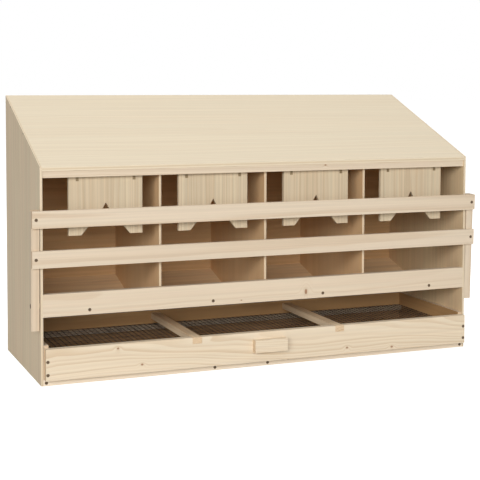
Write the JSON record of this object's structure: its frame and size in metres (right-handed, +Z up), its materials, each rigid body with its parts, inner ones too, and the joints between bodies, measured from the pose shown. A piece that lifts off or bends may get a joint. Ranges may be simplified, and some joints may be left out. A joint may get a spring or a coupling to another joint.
{
  "type": "nesting box",
  "caption": "Wooden nesting box for hens with a sloping roof, notched swinging doors, a folding slatted perch frame and an egg drawer with a mesh floor.",
  "frame": {"origin": "centre of the bounding box's footprint, on the floor", "axes": "+X along the row of nests, -Y towards the front where the hens enter, +Z up"},
  "size_m": [1.06, 0.395, 0.6],
  "materials": {
    "side_plywood": "bare sanded softwood plywood",
    "inner_plywood": "bare sanded softwood plywood",
    "floor_plywood": "bare sanded softwood plywood",
    "roof_board": "bare sanded pale softwood",
    "trim_pine": "bare planed pine",
    "door_pine": "bare planed pine, upright grain",
    "perch_pine": "bare planed pine",
    "drawer_front_pine": "bare planed pine with strong figure",
    "drawer_pine": "bare planed pine",
    "black_mesh": "matt black",
    "zinc_steel": "dull zinc plating",
    "dark_steel": "black phosphated"
  },
  "bodies": {
    "box": {"left_side_panel": "side_plywood", "right_side_panel": "side_plywood", "back_panel": "inner_plywood", "roof_panel": "roof_board", "front_fascia": "trim_pine", "lip_board": "trim_pine", "front_base_rail": "trim_pine", "rear_base_rail": "trim_pine", "left_runner": "trim_pine", "right_runner": "trim_pine", "middle_runner_1": "trim_pine", "middle_runner_2": "trim_pine", "middle_runner_3": "trim_pine", "roof_back_batten": "trim_pine", "front_floor_batten": "trim_pine", "rear_floor_batten": "trim_pine", "front_nest_floor": "floor_plywood", "rear_nest_floor": "floor_plywood", "partition_1": "inner_plywood", "partition_2": "inner_plywood", "partition_3": "inner_plywood", "door_rod": "zinc_steel", "pivot_screws": "dark_steel", "pivot_washers": "zinc_steel", "lip_screws": "dark_steel", "base_rail_screws": "dark_steel", "roof_nails": "dark_steel"},
    "perch_frame": {"perch_slat_upper": "perch_pine", "perch_slat_lower": "perch_pine", "perch_arm_left": "perch_pine", "perch_arm_right": "perch_pine", "perch_screws": "dark_steel"},
    "drawer": {"drawer_front": "drawer_front_pine", "drawer_left_side": "drawer_pine", "drawer_right_side": "drawer_pine", "drawer_back": "drawer_pine", "drawer_divider_left": "drawer_pine", "drawer_divider_right": "drawer_pine", "drawer_front_ledger": "drawer_pine", "drawer_back_ledger": "drawer_pine", "drawer_mesh": "black_mesh", "drawer_handle": "drawer_front_pine", "drawer_screws": "dark_steel", "handle_screws": "dark_steel"},
    "door_1": {"door_1": "door_pine", "door_loops_1": "zinc_steel", "door_screws_1": "dark_steel"},
    "door_2": {"door_2": "door_pine", "door_loops_2": "zinc_steel", "door_screws_2": "dark_steel"},
    "door_3": {"door_3": "door_pine", "door_loops_3": "zinc_steel", "door_screws_3": "dark_steel"},
    "door_4": {"door_4": "door_pine", "door_loops_4": "zinc_steel", "door_screws_4": "dark_steel"}
  },
  "joints": [
    {"name": "door_1_swing", "type": "hinge", "parent": "box", "child": "door_1", "pos_m": [-0.36625, -0.1464, 0.4415], "axis": [1, 0, 0], "range_deg": [0, 85]},
    {"name": "door_2_swing", "type": "hinge", "parent": "box", "child": "door_2", "pos_m": [-0.12325, -0.1464, 0.4415], "axis": [1, 0, 0], "range_deg": [0, 85]},
    {"name": "door_3_swing", "type": "hinge", "parent": "box", "child": "door_3", "pos_m": [0.12625, -0.1464, 0.4415], "axis": [1, 0, 0], "range_deg": [0, 85]},
    {"name": "door_4_swing", "type": "hinge", "parent": "box", "child": "door_4", "pos_m": [0.37275, -0.1464, 0.4415], "axis": [1, 0, 0], "range_deg": [0, 85]},
    {"name": "perch_frame_fold", "type": "hinge", "parent": "box", "child": "perch_frame", "pos_m": [0, -0.155, 0.16775], "axis": [1, 0, 0], "range_deg": [0, 88]},
    {"name": "drawer_slide", "type": "slide", "parent": "box", "child": "drawer", "axis": [0, -1, 0], "range_m": [0, 0.24]}
  ]
}
